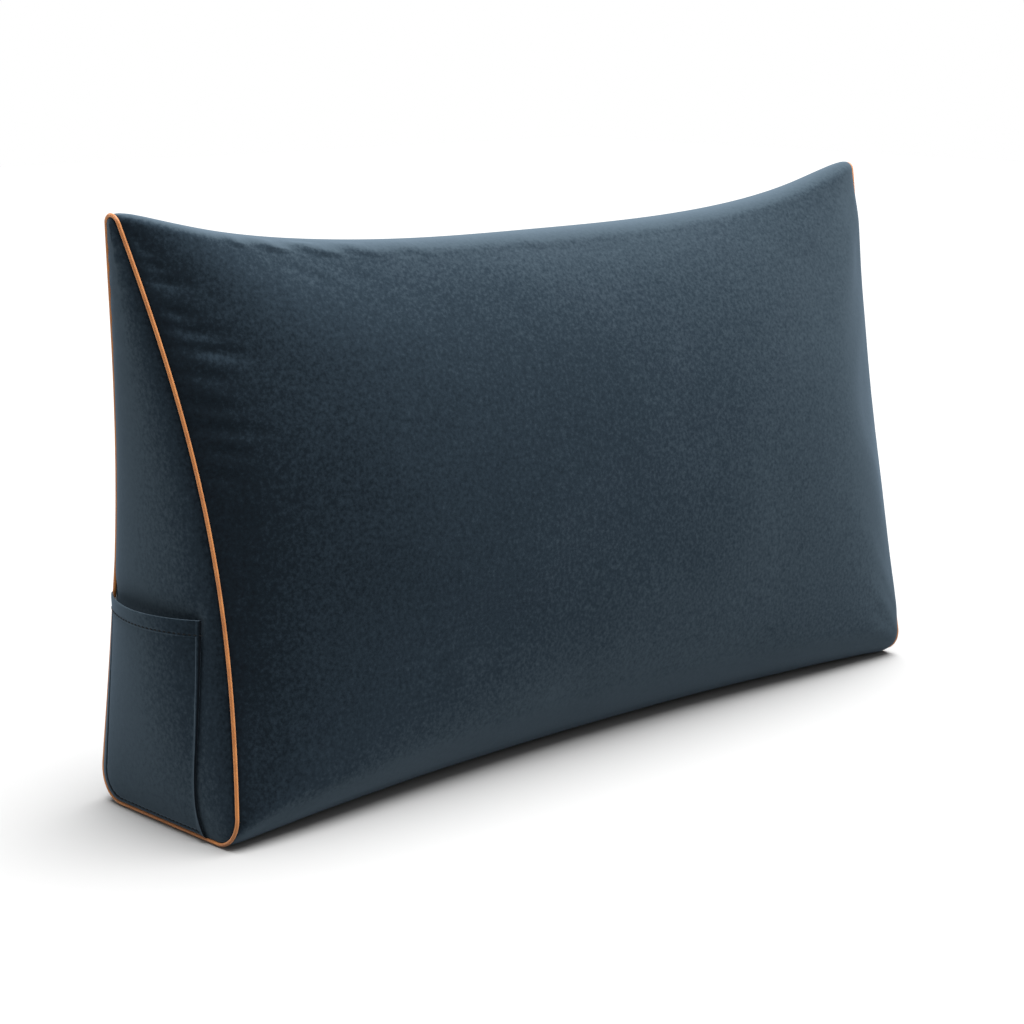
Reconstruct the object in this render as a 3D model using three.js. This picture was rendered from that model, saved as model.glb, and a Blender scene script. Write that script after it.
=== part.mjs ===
// Wedge back cushion with piped ends and a side pocket.
// Millimetres, +Z up. X runs along the length, the front face looks towards -Y and the pocket is at -X.
// The origin is on the surface that the cushion stands on, under the middle of its outer box.

import * as THREE from 'three';
import { mergeVertices } from 'three/addons/utils/BufferGeometryUtils.js';

// Overall form. Seam sizes are those of the piping's centre line.
const HEIGHT = 500; // floor to the top of the piping at the upper corners
const SEAM_LENGTH = 850; // between the end seams, at the floor
const EAR_FLARE = 23; // how far an upper corner stands out past the lower ones
const END_DRAW_IN = 22; // how far an end seam is drawn in at mid-height
const DIP = 44; // how far the top edge sinks between its two ears

// Cloth and piping
const CLOTH = 1.2;
const PIPING_RADIUS = 2.2;
const PIPING_PROUD = 0.5; // from the cloth's faces out to the piping's centre line
const GAP = 0.3; // between pieces that are sewn together
const WRAP_GAP = 0.4; // between the wrap and its piping, along the cushion
const PANEL_BACKING = 0.5; // from an end panel in to the filling
const FLOOR_CLEARANCE = 0.1; // under the piping, so that the cushion stands on its base
const SAME_POINT = 1e-3;

// The wedge's section, front to back. The faces are arcs that swell past a straight line by their bow.
const SEAM_FLOOR = PIPING_RADIUS + FLOOR_CLEARANCE;
const SEAM_TOP = HEIGHT - PIPING_RADIUS;
const END_SECTION = {
	floor: SEAM_FLOOR,
	top: SEAM_TOP,
	ridgeY: 18,
	frontY: -93,
	backY: 94,
	frontCorner: 24,
	backCorner: 28,
	ridge: 7.5,
	frontBow: 12,
	backBow: 12,
};
const MIDDLE_SECTION = {
	floor: -6, // pressed flat at the floor
	top: SEAM_TOP - DIP,
	ridgeY: 14,
	frontY: -84,
	backY: 86,
	frontCorner: 68,
	backCorner: 62,
	ridge: 22,
	frontBow: 28,
	backBow: 30,
};

// How the section grows from an end (0) to the middle (1): the edges slowly, the faces at once.
const RIDGE_POWER = 3;
const CORNER_POWER = 2;
const FACE_POWER = 3;
const FACE_ROUNDING = 0.7;
const SEAM_ROLL = 6; // how far the cloth swells past its seam, close beside it
const ROLL_POWER = 40;

// The end panels, swelled by the filling
const PANEL_BULGE = 12;
const BULGE_RISE = 110; // height above the floor at which the bulge is full
const PANEL_HUB = { y: 8, z: 170 };
const PANEL_RINGS = [0, 0.2, 0.38, 0.54, 0.68, 0.8, 0.9];

// The side pocket, on the left end panel
const POCKET_FRONT_Y = -47;
const POCKET_FRONT_HEIGHT = 183; // of the mouth, at the pocket's front edge
const POCKET_BACK_HEIGHT = 181; // of the mouth, at the back seam
const POCKET_SAG = 1.5; // of the mouth, between its two ends
const POCKET_GAPE = 10; // how far the mouth stands off the panel
const POCKET_GAPE_POWER = 2.2;
const POCKET_INSET = 3.2; // from the piping's centre line, at the back and bottom seams
const POCKET_SEAT = 0.75; // off the panel, where it lies flat
const HEM = 14;
const FRONT_FOLD = 6;
const FOLD_RAISE = 0.6; // second layer of a turned edge

// Steps of the surfaces, in their order round the section
const OUTLINE_STEPS = { front: 16, ridge: 8, back: 16, backCorner: 7, base: 10, frontCorner: 7 };
const LOOP_STEPS = Object.values(OUTLINE_STEPS).reduce((sum, steps) => sum + steps, 0);
const LENGTH_STEPS = 28;
const PIPING_SIDES = 8;
const POCKET_COLUMNS = 12;
const POCKET_ROWS = 14;

const lerp = THREE.MathUtils.lerp;
const clamp = THREE.MathUtils.clamp;

// Centre of the arc of the given radius that touches two smaller circles from outside them. side is 1 when
// the arc's centre lies towards +Y of them, and -1 towards -Y.
function arcAround(low, high, radius, side) {
	const lowReach = radius - low.radius;
	const highReach = radius - high.radius;
	const apart = Math.hypot(high.y - low.y, high.z - low.z);
	const along = (apart ** 2 + lowReach ** 2 - highReach ** 2) / (2 * apart);
	const across = side * Math.sqrt(lowReach ** 2 - along ** 2);
	const unit = { y: (high.y - low.y) / apart, z: (high.z - low.z) / apart };
	return {
		y: low.y + unit.y * along + unit.z * across,
		z: low.z + unit.z * along - unit.y * across,
		radius,
	};
}

// The five circles that a section's outline is made of.
function sectionArcs(section) {
	const frontCorner = {
		y: section.frontY + section.frontCorner,
		z: section.floor + section.frontCorner,
		radius: section.frontCorner,
	};
	const backCorner = {
		y: section.backY - section.backCorner,
		z: section.floor + section.backCorner,
		radius: section.backCorner,
	};
	const ridge = { y: section.ridgeY, z: section.top - section.ridge, radius: section.ridge };
	const bowRadius = (low, bow) => {
		const chord = Math.hypot(ridge.y - low.y, ridge.z - low.z);
		return chord ** 2 / (8 * bow) + bow / 2;
	};
	return {
		frontCorner,
		backCorner,
		ridge,
		front: arcAround(frontCorner, ridge, bowRadius(frontCorner, section.frontBow), 1),
		back: arcAround(backCorner, ridge, bowRadius(backCorner, section.backBow), -1),
	};
}

// A section's outline as LOOP_STEPS points, each with its outward normal and its place along its face:
// up the front, over the ridge, down the back and home along the base.
function outline(section) {
	const arcs = sectionArcs(section);
	const heading = (from, to) => Math.atan2(to.z - from.z, to.y - from.y);
	const turn = 2 * Math.PI;
	const down = -Math.PI / 2;
	const frontLow = (heading(arcs.front, arcs.frontCorner) + turn) % turn;
	const frontHigh = heading(arcs.front, arcs.ridge);
	const backHigh = heading(arcs.back, arcs.ridge);
	const backLow = heading(arcs.back, arcs.backCorner);
	const points = [];
	const addArc = (name, circle, start, end) => {
		const steps = OUTLINE_STEPS[name];
		for (let step = 0; step < steps; step++) {
			const angle = lerp(start, end, step / steps);
			const normal = { y: Math.cos(angle), z: Math.sin(angle) };
			points.push({
				y: circle.y + circle.radius * normal.y,
				z: circle.z + circle.radius * normal.z,
				normal,
				face: name,
				part: step / steps,
			});
		}
	};
	addArc('front', arcs.front, frontLow, frontHigh);
	addArc('ridge', arcs.ridge, frontHigh, backHigh);
	addArc('back', arcs.back, backHigh, backLow);
	addArc('backCorner', arcs.backCorner, backLow, down);
	for (let step = 0; step < OUTLINE_STEPS.base; step++) {
		const part = step / OUTLINE_STEPS.base;
		points.push({
			y: lerp(arcs.backCorner.y, arcs.frontCorner.y, part),
			z: section.floor,
			normal: { y: 0, z: -1 },
			face: 'base',
			part,
		});
	}
	addArc('frontCorner', arcs.frontCorner, down, frontLow - turn);
	return points;
}

const endOutline = outline(END_SECTION);
const middleOutline = outline(MIDDLE_SECTION);
const endArcs = sectionArcs(END_SECTION);

// Half the length between the end seams at a height.
function halfLength(z) {
	const part = clamp(z / HEIGHT, 0, 1);
	return SEAM_LENGTH / 2 - END_DRAW_IN * Math.sin(Math.PI * part) + EAR_FLARE * part;
}

// How far the end section reaches to one side at a height, its edge moved in by inset.
function sideReach(z, inset, faceArc, corner, ridge, side) {
	const contactHeight = (circle) => {
		const apart = faceArc.radius - circle.radius;
		return faceArc.z + ((circle.z - faceArc.z) * faceArc.radius) / apart;
	};
	let circle = faceArc;
	if (z < contactHeight(corner)) circle = corner;
	if (z > contactHeight(ridge)) circle = ridge;
	const radius = circle.radius - inset;
	return circle.y + side * Math.sqrt(Math.max(0, radius ** 2 - (z - circle.z) ** 2));
}

function frontReach(z, inset) {
	return sideReach(z, inset, endArcs.front, endArcs.frontCorner, endArcs.ridge, -1);
}

function backReach(z, inset) {
	return sideReach(z, inset, endArcs.back, endArcs.backCorner, endArcs.ridge, 1);
}

// How far an end swells past its seam, at a place on the end.
function panelBulge(y, z) {
	const front = frontReach(z, 0);
	const back = backReach(z, 0);
	const halfWidth = (back - front) / 2;
	if (halfWidth < 1) return 0;
	const across = (y - (front + back) / 2) / halfWidth;
	const low = clamp((z - SEAM_FLOOR) / BULGE_RISE, 0, 1);
	const fullWidth = (backReach(BULGE_RISE, 0) - frontReach(BULGE_RISE, 0)) / 2;
	const rise = low < 1 ? 1 - (1 - low) ** 2 : halfWidth / fullWidth;
	return PANEL_BULGE * rise * Math.max(0, 1 - across ** 2);
}

// A point on an end, depth outwards from the piping's centre line. end is -1 on the left, 1 on the right.
function endPoint(end, y, z, depth) {
	return new THREE.Vector3(end * (halfLength(z) + panelBulge(y, z) + depth), y, z);
}

// A column's place on an end: ring 0 is the hub and ring 1 the edge, moved in by inset.
function endColumn(end, column, ring, inset, depth) {
	const edge = endOutline[column];
	const y = lerp(PANEL_HUB.y, edge.y - edge.normal.y * inset, ring);
	const z = lerp(PANEL_HUB.z, edge.z - edge.normal.z * inset, ring);
	return endPoint(end, y, z, depth);
}

// Drops what only drawing needs and joins the points that coincide, which closes the surface.
function closed(geometry) {
	geometry.deleteAttribute('normal');
	geometry.deleteAttribute('uv');
	const merged = mergeVertices(geometry, SAME_POINT);
	merged.computeVertexNormals();
	return merged;
}

// A surface of LOOP_STEPS columns round the section. Its stations run from pole to pole or round a closed
// profile, and place(column, station) gives each point.
function loopSurface(stations, place) {
	const profile = stations.map((station, row) => new THREE.Vector2(1, row));
	const geometry = new THREE.LatheGeometry(profile, LOOP_STEPS);
	const position = geometry.attributes.position;
	for (let index = 0; index < position.count; index++) {
		const column = Math.floor(index / stations.length) % LOOP_STEPS;
		const point = place(column, stations[index % stations.length]);
		position.setXYZ(index, point.x, point.y, point.z);
	}
	return closed(geometry);
}

// The filled wrap: front, ridge, back and base in one, crowned between its two ends.
function cushionBody() {
	const capInset = PIPING_RADIUS + GAP;
	const capDepth = -(PIPING_PROUD + CLOTH + PANEL_BACKING);
	const wrapStart = PIPING_RADIUS + WRAP_GAP;
	const caps = (end) => [...PANEL_RINGS, 1].map((ring) => ({ end, ring }));
	const rings = [];
	for (let step = 0; step <= LENGTH_STEPS; step++) {
		rings.push({ along: Math.sin(Math.PI * (step / LENGTH_STEPS - 0.5)) });
	}
	const stations = [...caps(1), ...rings.reverse(), ...caps(-1).reverse()];
	return loopSurface(stations, (column, station) => {
		if (station.end) return endColumn(station.end, column, station.ring, capInset, capDepth);
		const edge = endOutline[column];
		const middle = middleOutline[column];
		const away = Math.abs(station.along);
		const edgeGrowth = 1 - away ** (edge.z > HEIGHT / 2 ? RIDGE_POWER : CORNER_POWER);
		const faceGrowth = Math.max(0, 1 - away ** FACE_POWER) ** FACE_ROUNDING;
		const onFace = ['front', 'back', 'base'].includes(edge.face) ? Math.sin(Math.PI * edge.part) : 0;
		const growth = lerp(edgeGrowth, faceGrowth, onFace);
		const swell = SEAM_ROLL * Math.sqrt(Math.max(0, 1 - away ** ROLL_POWER)) - PIPING_PROUD;
		return new THREE.Vector3(
			station.along * (halfLength(edge.z) - wrapStart),
			lerp(edge.y, middle.y, growth) + edge.normal.y * swell,
			Math.max(0, lerp(edge.z, middle.z, growth) + edge.normal.z * swell),
		);
	});
}

// A cloth end panel: outer face, edge and inner face.
function sidePanel(end) {
	const inset = PIPING_RADIUS + GAP;
	const outer = -PIPING_PROUD;
	const inner = outer - CLOTH;
	const rings = [...PANEL_RINGS, 1];
	const stations = [
		...rings.map((ring) => ({ ring, depth: outer })),
		...rings.toReversed().map((ring) => ({ ring, depth: inner })),
	];
	const ordered = end > 0 ? stations : stations.toReversed();
	return loopSurface(ordered, (column, { ring, depth }) => endColumn(end, column, ring, inset, depth));
}

// Covered cord in an end seam.
function piping(end) {
	const stations = [];
	for (let side = 0; side <= PIPING_SIDES; side++) {
		const angle = (-end * 2 * Math.PI * (side % PIPING_SIDES)) / PIPING_SIDES;
		stations.push({ out: PIPING_RADIUS * Math.cos(angle), along: PIPING_RADIUS * Math.sin(angle) });
	}
	return loopSurface(stations, (column, { out, along }) => {
		const edge = endOutline[column];
		return new THREE.Vector3(
			end * (halfLength(edge.z) + along),
			edge.y + edge.normal.y * out,
			edge.z + edge.normal.z * out,
		);
	});
}

// The pocket's cloth: a grid from its front edge to the back seam, and from the bottom seam to the mouth.
function sidePocket() {
	const geometry = new THREE.BoxGeometry(1, 1, 1, POCKET_COLUMNS, POCKET_ROWS, 1);
	const position = geometry.attributes.position;
	const bottom = SEAM_FLOOR + POCKET_INSET;
	for (let index = 0; index < position.count; index++) {
		const across = position.getX(index) + 0.5;
		const up = position.getY(index) + 0.5;
		const isOuter = position.getZ(index) < 0;
		const sag = POCKET_SAG * Math.sin(Math.PI * across);
		const mouth = lerp(POCKET_FRONT_HEIGHT, POCKET_BACK_HEIGHT, across) - sag;
		const z = lerp(bottom, mouth, up);
		const y = lerp(POCKET_FRONT_Y, backReach(z, POCKET_INSET), across);
		const gape = POCKET_GAPE * Math.sin(Math.PI * across) * up ** POCKET_GAPE_POWER;
		const isFolded = mouth - z < HEM || y - POCKET_FRONT_Y < FRONT_FOLD;
		const inner = -PIPING_PROUD + POCKET_SEAT + gape;
		const outer = inner + CLOTH + (isFolded ? FOLD_RAISE : 0);
		const point = endPoint(-1, y, z, isOuter ? outer : inner);
		position.setXYZ(index, point.x, point.y, point.z);
	}
	return closed(geometry);
}

const clothFinish = { color: 0x2c3a47, roughness: 0.95, metalness: 0 };
const pipingFinish = { color: 0xb5713c, roughness: 0.6, metalness: 0 };

function piece(name, geometry, finish) {
	const mesh = new THREE.Mesh(geometry, new THREE.MeshStandardMaterial(finish));
	mesh.name = name;
	return mesh;
}

const cushion = new THREE.Group();
cushion.name = 'wedge_back_cushion';
cushion.add(piece('cushion_body', cushionBody(), clothFinish));
for (const [end, side] of [[-1, 'left'], [1, 'right']]) {
	cushion.add(piece(`side_panel_${side}`, sidePanel(end), clothFinish));
	cushion.add(piece(`piping_${side}`, piping(end), pipingFinish));
}
cushion.add(piece('pocket_left', sidePocket(), clothFinish));

const outerBox = new THREE.Box3().setFromObject(cushion);
cushion.position.y = -(outerBox.min.y + outerBox.max.y) / 2;

export default cushion;
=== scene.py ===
"""The looks of a wedge back cushion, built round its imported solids.

The cushion stands on its flat base. A brushed velvet wrap goes round it front to back, a cloth panel
closes each end, piping in a lighter colour runs round both end seams, and the left end carries a flat
pocket. Lengths in the classes are millimetres in the frame's axes, and meshes are written in metres.
"""

from __future__ import annotations

import logging
import math
from dataclasses import dataclass, field
from enum import Enum
from typing import Sequence

import bpy
import numpy as np
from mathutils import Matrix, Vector

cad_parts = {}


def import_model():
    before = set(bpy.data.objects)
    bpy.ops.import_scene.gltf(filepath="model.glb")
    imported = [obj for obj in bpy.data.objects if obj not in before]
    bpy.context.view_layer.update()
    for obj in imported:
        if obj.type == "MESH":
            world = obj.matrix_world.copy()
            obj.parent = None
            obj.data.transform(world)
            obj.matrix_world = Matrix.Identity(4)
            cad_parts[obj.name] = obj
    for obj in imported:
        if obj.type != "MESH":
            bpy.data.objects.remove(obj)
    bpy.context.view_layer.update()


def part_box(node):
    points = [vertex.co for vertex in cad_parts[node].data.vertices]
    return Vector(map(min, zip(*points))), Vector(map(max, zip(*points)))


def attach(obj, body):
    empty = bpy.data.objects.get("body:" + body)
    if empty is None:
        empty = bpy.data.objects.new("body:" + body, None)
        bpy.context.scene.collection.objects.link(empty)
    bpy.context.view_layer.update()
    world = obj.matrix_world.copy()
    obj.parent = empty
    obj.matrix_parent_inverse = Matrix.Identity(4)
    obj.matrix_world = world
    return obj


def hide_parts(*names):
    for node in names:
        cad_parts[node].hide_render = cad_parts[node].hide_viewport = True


LOG = logging.getLogger("cushion")
MM = 0.001
BODY = "root"
TINY = 1e-12  # keeps a division by a length of nothing from failing

Floats = np.ndarray
Pair = tuple[float, float]
Colour = tuple[float, float, float, float]
Faces = Sequence[Sequence[int]]


# The form, shared by every piece


class Face(Enum):
    """The stretches of the wedge's outline, in their order round it."""

    FRONT = "front"
    RIDGE = "ridge"
    BACK = "back"
    BACK_CORNER = "back corner"
    BASE = "base"
    FRONT_CORNER = "front corner"


class End(Enum):
    """The two ends of the cushion. The value is the end's sign along X."""

    LEFT = -1
    RIGHT = 1


@dataclass(frozen=True)
class Circle:
    """A circle in a section: centre and radius."""

    y: float
    z: float
    radius: float

    def heading(self, other: Circle) -> float:
        """The angle of the line from this centre to another circle's."""
        return math.atan2(other.z - self.z, other.y - self.y)

    def contact(self, big: Circle) -> float:
        """The height at which the circle touches a larger one from inside it."""
        return big.z + (self.z - big.z) * big.radius / (big.radius - self.radius)

    def inside(self, y: Floats, z: Floats) -> Floats:
        """How far inside the circle places lie."""
        return self.radius - np.hypot(y - self.y, z - self.z)


@dataclass(frozen=True)
class Loop:
    """Points once round a section, with their outward normals, faces and places along their faces."""

    y: Floats
    z: Floats
    normal_y: Floats
    normal_z: Floats
    face: Sequence[Face]
    part: Floats

    def on(self, *faces: Face) -> Floats:
        """Tell for each point whether it lies on one of the given faces."""
        return np.array([face in faces for face in self.face])


@dataclass(frozen=True)
class Section:
    """One cross-section of the wedge. The faces are arcs that swell past a straight line by their bow."""

    floor: float
    top: float
    ridge_y: float
    front_y: float
    back_y: float
    front_corner: float
    back_corner: float
    ridge: float
    front_bow: float
    back_bow: float

    def circles(self) -> dict[Face, Circle]:
        """Work out the circles whose arcs make the outline.

        Returns:
            The circle of each face but the base, which is straight.
        """
        front, back = self.front_corner, self.back_corner
        front_corner = Circle(self.front_y + front, self.floor + front, front)
        back_corner = Circle(self.back_y - back, self.floor + back, back)
        ridge = Circle(self.ridge_y, self.top - self.ridge, self.ridge)
        return {
            Face.FRONT: self._around(front_corner, ridge, self.front_bow, 1),
            Face.RIDGE: ridge,
            Face.BACK: self._around(back_corner, ridge, self.back_bow, -1),
            Face.BACK_CORNER: back_corner,
            Face.FRONT_CORNER: front_corner,
        }

    @staticmethod
    def _around(low: Circle, high: Circle, bow: float, side: int) -> Circle:
        """Find the large arc that touches two smaller circles from outside them.

        Args:
            low: The corner's circle.
            high: The ridge's circle.
            bow: How far the arc swells past a straight line.
            side: 1 when the arc's centre lies towards the back, -1 towards the front.

        Returns:
            The arc's circle.
        """
        apart = math.hypot(high.y - low.y, high.z - low.z)
        radius = apart**2 / (8 * bow) + bow / 2
        low_reach = radius - low.radius
        high_reach = radius - high.radius
        along = (apart**2 + low_reach**2 - high_reach**2) / (2 * apart)
        across = side * math.sqrt(low_reach**2 - along**2)
        unit_y = (high.y - low.y) / apart
        unit_z = (high.z - low.z) / apart
        y = low.y + unit_y * along + unit_z * across
        z = low.z + unit_z * along - unit_y * across
        return Circle(y, z, radius)

    def loop(self, steps: dict[Face, int]) -> Loop:
        """Place points round the section.

        Args:
            steps: How many points each face gets.

        Returns:
            The points, up the front, over the ridge, down the back and home along the base.
        """
        circles = self.circles()
        front, ridge, back = circles[Face.FRONT], circles[Face.RIDGE], circles[Face.BACK]
        front_corner, back_corner = circles[Face.FRONT_CORNER], circles[Face.BACK_CORNER]
        turn = 2 * math.pi
        down = -math.pi / 2
        front_low = front.heading(front_corner) % turn
        front_high = front.heading(ridge)
        back_high = back.heading(ridge)
        back_low = back.heading(back_corner)
        spans = {
            Face.FRONT: (front_low, front_high),
            Face.RIDGE: (front_high, back_high),
            Face.BACK: (back_high, back_low),
            Face.BACK_CORNER: (back_low, down),
            Face.FRONT_CORNER: (down, front_low - turn),
        }
        columns: list[tuple[float, float, float, float, Face, float]] = []
        for face in Face:
            for step in range(steps[face]):
                part = step / steps[face]
                if face is Face.BASE:
                    y = back_corner.y + (front_corner.y - back_corner.y) * part
                    columns.append((y, self.floor, 0.0, -1.0, face, part))
                    continue
                start, end = spans[face]
                angle = start + (end - start) * part
                circle = circles[face]
                out_y, out_z = math.cos(angle), math.sin(angle)
                y = circle.y + circle.radius * out_y
                z = circle.z + circle.radius * out_z
                columns.append((y, z, out_y, out_z, face, part))
        y, z, out_y, out_z, face, part = zip(*columns)
        return Loop(np.array(y), np.array(z), np.array(out_y), np.array(out_z), face, np.array(part))


@dataclass(frozen=True)
class WedgeForm:
    """The cushion's shape, close to its solids, with what the visible cloth adds to them.

    Seam sizes are those of the piping's centre line.
    """

    height: float = 500.0
    seam_length: float = 850.0
    ear_flare: float = 23.0
    left_reach: float = 1.7  # how much further the left end reaches
    right_ear: float = 6.5  # how much further the right ear reaches
    right_ear_heights: Pair = (360.0, 510.0)
    end_draw_in: float = 22.0
    dip: float = 44.0
    piping_radius: float = 2.2
    piping_proud: float = 0.5
    floor_clearance: float = 0.1
    ridge_power: float = 3.0
    corner_power: float = 2.0
    face_power: float = 3.0
    face_rounding: float = 0.7
    seam_roll: float = 6.0
    roll_power: float = 40.0
    panel_bulge: float = 10.0
    bulge_power: float = 2.0
    bulge_rise: float = 110.0
    edge_roll: float = 4.0  # the cloth rises this much beside the piping
    edge_roll_length: float = 9.0
    least_half_width: float = 1.0  # below which the end isn't read as narrower
    crest_lean: float = 10.0  # how far back the crest leans, which rounds the faces below it
    crest_lean_length: float = 0.16  # how fast that fades down the faces, as a share of their length
    crest_lean_more: float = 0.9  # how much more it leans towards the left, as a share
    crest_lean_place: Pair = (-0.64, 0.26)  # where that is, middle and width, in half lengths
    panel_hub: Pair = (8.0, 170.0)
    shift_y: float = 0.0

    @property
    def seam_floor(self) -> float:
        """Height of the seam line over the floor at the base."""
        return self.piping_radius + self.floor_clearance

    @property
    def end_section(self) -> Section:
        """The section of the end seams."""
        return Section(
            floor=self.seam_floor,
            top=self.height - self.piping_radius,
            ridge_y=16.5,
            front_y=-93.0,
            back_y=94.0,
            front_corner=24.0,
            back_corner=28.0,
            ridge=9.0,
            front_bow=11.0,
            back_bow=12.0,
        )

    @property
    def middle_section(self) -> Section:
        """The section half way along, whose low floor is pressed flat."""
        return Section(
            floor=-6.0,
            top=self.height - self.piping_radius - self.dip,
            ridge_y=5.0,
            front_y=-84.0,
            back_y=86.0,
            front_corner=68.0,
            back_corner=62.0,
            ridge=22.0,
            front_bow=31.0,
            back_bow=32.0,
        )

    def half_length(self, z: Floats, sign: Floats | int) -> Floats:
        """How far an end seam lies from the middle.

        Args:
            z: Heights.
            sign: The sign of the end along X.

        Returns:
            The distances at those heights.
        """
        part = np.clip(z / self.height, 0, 1)
        plain = self.seam_length / 2 - self.end_draw_in * np.sin(np.pi * part) + self.ear_flare * part
        ear = self.right_ear * smooth_step(z, *self.right_ear_heights)
        return plain + np.where(np.asarray(sign) > 0, ear, self.left_reach)

    def reach(self, z: Floats, inset: float, side: int) -> Floats:
        """How far the end section reaches to its front or back.

        Args:
            z: Heights.
            inset: How far the outline is moved in.
            side: -1 for the front, 1 for the back.

        Returns:
            The reach in Y at those heights.
        """
        circles = self.end_section.circles()
        big = circles[Face.FRONT if side < 0 else Face.BACK]
        corner = circles[Face.FRONT_CORNER if side < 0 else Face.BACK_CORNER]
        ridge = circles[Face.RIDGE]
        z = np.asarray(z, float)
        choices = [z < corner.contact(big), z > ridge.contact(big)]
        centre_y = np.select(choices, [corner.y, ridge.y], big.y)
        centre_z = np.select(choices, [corner.z, ridge.z], big.z)
        radius = np.select(choices, [corner.radius, ridge.radius], big.radius) - inset
        return centre_y + side * np.sqrt(np.maximum(0, radius**2 - (z - centre_z) ** 2))

    def from_seam(self, y: Floats, z: Floats) -> Floats:
        """Distance inwards from the seam line, for places on an end.

        Args:
            y: Places across the end.
            z: Heights.

        Returns:
            The distances.
        """
        circles = self.end_section.circles()
        low_front, low_back = circles[Face.FRONT_CORNER], circles[Face.BACK_CORNER]
        inside = {face: circle.inside(y, z) for face, circle in circles.items()}
        choices = [
            (z < low_front.z) & (y < low_front.y),
            (z < low_back.z) & (y > low_back.y),
            z > circles[Face.RIDGE].contact(circles[Face.FRONT]),
        ]
        curved = [inside[Face.FRONT_CORNER], inside[Face.BACK_CORNER], inside[Face.RIDGE]]
        between = np.minimum(np.minimum(inside[Face.FRONT], inside[Face.BACK]), z - self.seam_floor)
        return np.select(choices, curved, between)

    def bulge(self, y: Floats, z: Floats) -> Floats:
        """How far an end swells past its seam.

        Args:
            y: Places across the end.
            z: Heights.

        Returns:
            The swell at those places.
        """
        front, back = self.reach(z, 0, -1), self.reach(z, 0, 1)
        half_width = np.maximum((back - front) / 2, self.least_half_width)
        across = (y - (front + back) / 2) / half_width
        low = np.clip((z - self.seam_floor) / self.bulge_rise, 0, 1)
        full = (self.reach(self.bulge_rise, 0, 1) - self.reach(self.bulge_rise, 0, -1)) / 2
        rise = np.where(low < 1, 1 - (1 - low) ** 2, half_width / full)
        swell = self.panel_bulge * rise * np.maximum(0, 1 - np.abs(across) ** self.bulge_power)
        inwards = np.maximum(self.from_seam(y, z), 0)
        return swell + self.edge_roll * (1 - np.exp(-inwards / self.edge_roll_length))

    def end_points(self, end: End, y: Floats, z: Floats, depth: Floats) -> Floats:
        """Points on an end.

        Args:
            end: Which end.
            y: Places across the end.
            z: Heights.
            depth: Distances outwards from the piping's centre line.

        Returns:
            Points, with a last axis of three.
        """
        x = end.value * (self.half_length(z, end.value) + self.bulge(y, z) + depth)
        return np.stack(np.broadcast_arrays(x, y + self.shift_y, z), axis=-1)

    def seam(self, end: End, loop: Loop, out: Floats, along: Floats) -> Floats:
        """Points beside an end seam.

        Args:
            end: Which end.
            loop: The end section's points.
            out: Distances from the seam along the section's normal.
            along: Distances outwards along X.

        Returns:
            Points, with a last axis of three.
        """
        x = end.value * (self.half_length(loop.z, end.value) + along)
        y = loop.y + loop.normal_y * out + self.shift_y
        z = loop.z + loop.normal_z * out
        return np.stack(np.broadcast_arrays(x, y, z), axis=-1)


# Meshes


def placed(data: bpy.types.ID) -> bpy.types.Object:
    """Put a mesh, a light or a camera in the scene, as an object with its name.

    Args:
        data: What the object shows.

    Returns:
        The object.
    """
    item = bpy.data.objects.new(data.name, data)
    bpy.context.scene.collection.objects.link(item)
    return item


def mesh_piece(name: str, points: Floats, faces: Faces) -> bpy.types.Object:
    """Make a smooth mesh object with its faces outwards.

    Args:
        name: The object's name.
        points: Points in millimetres.
        faces: Index lists into the points.

    Returns:
        The new object, linked to the scene.
    """
    faces = [tuple(int(i) for i in face) for face in faces]
    mesh = bpy.data.meshes.new(name)
    mesh.from_pydata((points * MM).tolist(), [], faces)
    mesh.validate()
    if signed_volume(points, faces) < 0:
        mesh.flip_normals()
    mesh.shade_smooth()
    mesh.update()
    return placed(mesh)


def signed_volume(points: Floats, faces: Faces) -> float:
    """Work out a closed mesh's volume, negative when its faces look inwards.

    Args:
        points: Points of the mesh.
        faces: Index lists into the points.

    Returns:
        The volume.
    """
    total = 0.0
    for size in {len(face) for face in faces}:
        corners = points[np.array([face for face in faces if len(face) == size])]
        for k in range(1, size - 1):
            cross = np.cross(corners[:, k], corners[:, k + 1])
            total += float((corners[:, 0] * cross).sum()) / 6
    return total


def loft(rows: Sequence[Floats], poles: tuple[Floats, Floats]) -> tuple[Floats, Faces]:
    """Join rings of points into a closed surface.

    Args:
        rows: Rings with the same number of points.
        poles: The points that close the first and the last ring.

    Returns:
        Points and faces.
    """
    count = len(rows[0])
    points = np.concatenate(rows)
    column = np.arange(count)
    following = (column + 1) % count
    faces: list[tuple[int, ...]] = []
    for low in range(0, len(points) - count, count):
        high = low + count
        faces += zip(low + column, low + following, high + following, high + column)
    pole = len(points)
    last = pole - count
    faces += [(pole, b, a) for a, b in zip(column, following)]
    faces += [(pole + 1, last + a, last + b) for a, b in zip(column, following)]
    return np.concatenate([points, np.stack(poles)]), faces


def quads(numbers: Floats) -> Floats:
    """The four corners of each cell in a grid of point numbers."""
    corners = (numbers[:-1, :-1], numbers[:-1, 1:], numbers[1:, 1:], numbers[1:, :-1])
    return np.stack(corners, axis=-1).reshape(-1, 4)


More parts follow.
